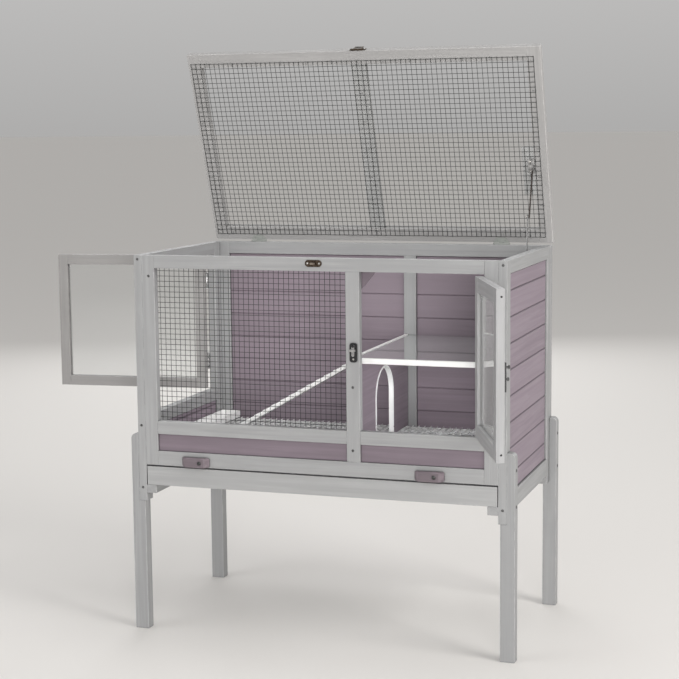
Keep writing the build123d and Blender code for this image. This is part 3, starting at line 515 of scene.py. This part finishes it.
def add_staples():
    """Staples that hold the lid's mesh and the window's mesh."""
    metal = plated("staple_wire", (0.30, 0.31, 0.31), 0.3, (0.6, 0.6, 0.6))

    def on_lid(shape):
        for x in LID_STAPLE_X:
            for y in spread(*LID_RUN_Y, STAPLE_PITCH):
                staple(shape, lid_point(x, y, STAPLE_CROWN), (1, 0, 0), LID_OUT)
        for y in LID_STAPLE_Y:
            for x in spread(*LID_RUN_X, STAPLE_PITCH_ACROSS):
                staple(shape, lid_point(x, y, STAPLE_CROWN), LID_Y, LID_OUT)

    new_piece("lid_staples", "lid", metal, on_lid, smooth=False)
    low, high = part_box("window_mesh")
    inner = high[1] + WINDOW_COVER

    def on_window(shape):
        for x in (low[0] + WINDOW_INSET, high[0] - WINDOW_INSET):
            for z in spread(low[2] + WINDOW_END, high[2] - WINDOW_END, STAPLE_PITCH):
                staple(shape, (x, inner, z), (1, 0, 0), (0, -1, 0))
        for z in (low[2] + WINDOW_INSET, high[2] - WINDOW_INSET):
            for x in spread(low[0] + WINDOW_END, high[0] - WINDOW_END, STAPLE_PITCH):
                staple(shape, (x, inner, z), (0, 0, 1), (0, -1, 0))

    new_piece("window_staples", "body_box", metal, on_window, smooth=False)


def add_tongues():
    """The tongues that close the joints between the wall boards."""
    # The side tongues show in the joint gaps at half the mauve: painted shade.
    shaded = painted_timber("side_tongue_painted_shade", scaled(MAUVE_PAINT, 0.5), "Y")
    # The back tongues take the inner mauve, which is lightened as painted light.
    plain = painted_timber("back_tongue_paint", LIT_MAUVE_INNER, "X")

    def build(shape, nodes, across):
        for node in nodes:
            low, high = (Vector(corner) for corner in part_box(node))
            depth = (low[across] + high[across]) / 2
            joint = FIRST_GROOVE
            while joint < high.z - 0.01:
                start, end = low.copy(), high.copy()
                start[across] = end[across] = depth
                start.z = end.z = joint
                prism(shape, start, end, (0, 0, 1), TONGUE_HALF, TONGUE_HALF)
                joint += GROOVE_PITCH

    new_piece("side_tongues", "body_box", shaded,
              lambda shape: build(shape, ("right_wall_boards", "left_low_boards"), 0), smooth=False)
    new_piece("back_tongues", "body_box", plain,
              lambda shape: build(shape, ("back_wall_boards",), 1), smooth=False)


def leaf_screws(pin, heights, away, out, reach, spacing, seat):
    """Places of the screws of a leaf that lies along away from its pin."""
    axis = away.cross(out)
    places = []
    for middle in heights:
        for step in (-spacing, spacing):
            places.append((pin + middle + away * reach - out * seat + axis * step, out))
    return places


def add_hinge_screws():
    """Screws in the leaves of the doors' and the lid's hinges."""
    metal = plated("screw_steel", (0.55, 0.55, 0.55), 0.25, (0.85, 0.85, 0.85))
    film = painted_timber("painted_screw", GREY_PAINT, "Z")
    for door, angle, fixed_away, fixed_out, across in (
        ("front", FRONT_DOOR_OPEN, Vector((1, 0, 0)), Vector((0, -1, 0)), False),
        ("side", -SIDE_DOOR_OPEN, Vector((0, 1, 0)), Vector((-1, 0, 0)), True),
    ):
        joint = JOINTS[f"{door}_door_hinge"]
        pin = Vector(joint["pos_m"])
        pin.z = 0.0
        low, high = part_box(f"{door}_door_moving_leaves")
        heights = [Vector((0, 0, low[2] + LEAF_END)), Vector((0, 0, high[2] - LEAF_END))]
        door_x = Vector((math.cos(angle), math.sin(angle), 0))
        door_y = Vector((-math.sin(angle), math.cos(angle), 0))
        away, out = (-door_y, -door_x) if across else (-door_x, -door_y)
        fixed = leaf_screws(pin, heights, fixed_away, fixed_out, *DOOR_LEAF)
        moving = leaf_screws(pin, heights, away, out, *DOOR_LEAF)
        screws(f"{door}_fixed_leaf_screws", "body_box", "steel", metal if across else film, fixed)
        screws(f"{door}_moving_leaf_screws", f"{door}_door", "steel", metal if across else film, moving)
    dull = moulding("overpainted_screw", (0.30, 0.315, 0.30), 0.42)
    pin = Vector(JOINTS["lid_hinge"]["pos_m"])
    middles = [Vector((x, 0, 0)) for x in LID_HINGE_X]
    fixed = leaf_screws(pin, middles, Vector((0, -1, 0)), Vector((0, 0, 1)), *LID_LEAF)
    moving = leaf_screws(pin, middles, -LID_Y, -LID_OUT, *LID_LEAF)
    screws("lid_fixed_leaf_screws", "body_box", "painted_zinc", dull, fixed, *LID_SCREW)
    screws("lid_moving_leaf_screws", "lid", "painted_zinc", dull, moving, *LID_SCREW)


def add_fitting_screws():
    """Screws and washers of the catch, the latch, the stay and the arch."""
    bright = plated("bright_screw", (0.75, 0.72, 0.68), 0.2, (0.95, 0.95, 0.95))
    black = enamel("black_washer", (0.012, 0.012, 0.012))
    low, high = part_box("catch_plate")
    height = (low[2] + high[2]) / 2
    screws("catch_screws", "body_box", "bronze", bright,
           [((x, low[1], height), (0, -1, 0)) for x in (-0.0145, 0.0145)], 0.0026, 0.0013)
    plate_low, plate_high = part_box("post_latch_plate")
    middle = (plate_low[0] + plate_high[0]) / 2
    face = FRONT_FACE - 0.003
    screws("post_plate_screws", "body_box", "steel", bright,
           [((middle, face, plate_low[2] + 0.007), (0, -1, 0))], 0.0024, 0.0010)
    screws("hasp_screws", "lid", "bronze", bright,
           [(lid_point(x, HASP_FACE, 0.013), -LID_Y) for x in (-0.0162, 0.0162)], 0.0024, 0.0008)
    screws("stay_bracket_screws", "lid", "steel", bright,
           [(lid_point(0.4135, y, -0.00255), -LID_OUT) for y in (-0.222, -0.199)], 0.0027, 0.0012)
    rail_low, rail_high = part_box("stay_rail_bracket")
    foot_y = (rail_low[1] + 0.004, rail_high[1] - 0.004)
    screws("stay_foot_screws", "body_box", "steel", bright,
           [((0.435, y, rail_low[2] + 0.005), (-1, 0, 0)) for y in foot_y], 0.0024, 0.0010)
    link_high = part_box("stay_lower_link")[1]
    elbow = (CAP_SEAT, link_high[1] - STAY_END, link_high[2] - STAY_END)
    screws("stay_elbow_cap", "stay_lower", "steel", bright, [(elbow, (-1, 0, 0))], 0.0052, 0.0035)
    door_pin = Vector(JOINTS["front_door_hinge"]["pos_m"])
    door_x = Vector((math.cos(FRONT_DOOR_OPEN), math.sin(FRONT_DOOR_OPEN), 0))
    door_y = Vector((-math.sin(FRONT_DOOR_OPEN), math.cos(FRONT_DOOR_OPEN), 0))

    def on_door(along, height, proud):
        return Vector((door_pin.x, door_pin.y, height)) - along * door_x - proud * door_y

    screws("door_plate_screws", "front_door", "steel", bright,
           [(on_door(0.282, z, 0.0005), -door_y) for z in (0.679, 0.710)], 0.0024, 0.0010)

    def washers(shape):
        for height in (0.698, 0.723):
            lathe(shape, on_door(0.280, height, 0.0005), -door_y,
                  [(0.0046, 0.0), (0.0046, 0.0009), (0.0040, 0.0014), (0.0027, 0.0014)])

    new_piece("stud_washers", "front_door", black, washers)
    edge = [(door_pin.x, door_pin.y, z) for z in (0.871, 0.540)]
    screws("door_edge_screws", "front_door", "screw", black,
           [(Vector(place) - 0.294 * door_x + 0.0105 * door_y, -door_x) for place in edge], 0.0023, 0.0008)
    low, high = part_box("arch_trim")
    screws("arch_screws", "body_box", "screw", black,
           [((high[0], high[1] - 0.002, low[2] + 0.020), (1, 0, 0)),
            ((high[0], low[1] + 0.002, low[2] + 0.020), (1, 0, 0))], 0.0016, 0.0006)


# ---------------------------------------------------------------- camera, floor and light
def make_camera():
    """A camera at the place and angle that the cage is seen from."""
    camera = bpy.data.objects.new("camera", bpy.data.cameras.new("camera"))
    bpy.context.scene.collection.objects.link(camera)
    forward = Vector((
        -math.sin(CAMERA_YAW) * math.cos(CAMERA_PITCH),
        math.cos(CAMERA_YAW) * math.cos(CAMERA_PITCH),
        math.sin(CAMERA_PITCH),
    ))
    level = Vector((math.cos(CAMERA_YAW), math.sin(CAMERA_YAW), 0.0))
    upright = level.cross(forward)
    right = level * math.cos(CAMERA_ROLL) + upright * math.sin(CAMERA_ROLL)
    up = upright * math.cos(CAMERA_ROLL) - level * math.sin(CAMERA_ROLL)
    turn = Matrix((right, up, -forward)).transposed()
    camera.matrix_world = Matrix.LocRotScale(CAMERA_PLACE, turn, None)
    camera.data.lens = CAMERA_LENS
    camera.data.sensor_width = CAMERA_SENSOR
    camera.data.clip_end = CAMERA_FAR
    bpy.context.scene.camera = camera


def make_floor():
    """A wide pale floor."""
    half = FLOOR_HALF
    mesh = bpy.data.meshes.new("studio_floor")
    corners = [(-half, -half, 0), (half, -half, 0), (half, half, 0), (-half, half, 0)]
    mesh.from_pydata(corners, [], [(0, 1, 2, 3)])
    floor = bpy.data.objects.new("studio_floor", mesh)
    bpy.context.scene.collection.objects.link(floor)
    s = Shader("studio_floor")
    s.base.inputs["Base Color"].default_value = (0.80, 0.78, 0.755, 1.0)
    s.base.inputs["Roughness"].default_value = 0.85
    mesh.materials.append(s.material)


def area_light(name, place, target, size, power, colour):
    """A square soft light that faces a point, and isn't seen itself."""
    lamp = bpy.data.lights.new(name, "AREA")
    lamp.size = size
    lamp.energy = power
    lamp.color = colour
    holder = bpy.data.objects.new(name, lamp)
    bpy.context.scene.collection.objects.link(holder)
    holder.location = place
    holder.visible_camera = False
    holder.rotation_euler = (Vector(target) - Vector(place)).to_track_quat("-Z", "Y").to_euler()
    return holder


def make_light():
    """Even light all round, lamps on every side of the cage, and two small ones inside it."""
    world = bpy.data.worlds.new("studio")
    world.use_nodes = True
    sky = world.node_tree.nodes["Background"]
    sky.inputs["Color"].default_value = (0.985, 0.975, 0.965, 1.0)
    coords = world.node_tree.nodes.new("ShaderNodeTexCoord")
    split = world.node_tree.nodes.new("ShaderNodeSeparateXYZ")
    rise = world.node_tree.nodes.new("ShaderNodeMapRange")
    rise.inputs["From Max"].default_value = 0.1
    rise.inputs["To Min"].default_value = SKY_LOW
    rise.inputs["To Max"].default_value = SKY_HIGH
    world.node_tree.links.new(coords.outputs["Generated"], split.inputs["Vector"])
    world.node_tree.links.new(split.outputs["Z"], rise.inputs["Value"])
    world.node_tree.links.new(rise.outputs["Result"], sky.inputs["Strength"])
    bpy.context.scene.world = world
    bpy.context.scene.view_settings.view_transform = "Standard"
    middle = (0.0, 0.0, 0.7)
    area_light("key", (4.2, -1.6, 3.2), middle, 2.0, 110.0, (1.0, 0.985, 0.965))
    front = area_light("front", (2.5, -6.3, 1.15), middle, 2.0, 61.0, (1.0, 0.99, 0.98))
    front.data.spread = math.radians(100)
    area_light("fill", (-3.6, -2.8, 2.2), middle, 3.0, 32.0, (0.97, 0.98, 1.0))
    inner = (
        area_light("den", (0.38, -0.12, 0.60), (0.08, 0.02, 0.51), 0.16, 0.7, (1.0, 1.0, 1.0)),
        area_light("bay", (-0.18, -0.12, 0.86), (-0.20, 0.04, 0.45), 0.30, 0.65, (1.0, 1.0, 1.0)),
    )
    for holder in inner:
        holder.visible_glossy = False
    area_light("back", (-1.6, 4.4, 2.4), middle, 3.0, 45.0, (1.0, 1.0, 1.0))
    area_light("top", (0.0, 0.6, 4.2), middle, 2.5, 20.0, (1.0, 1.0, 1.0))


make_camera()
make_floor()
make_light()
dress_timber()
dress_fittings()
add_staples()
add_tongues()
add_hinge_screws()
add_fitting_screws()
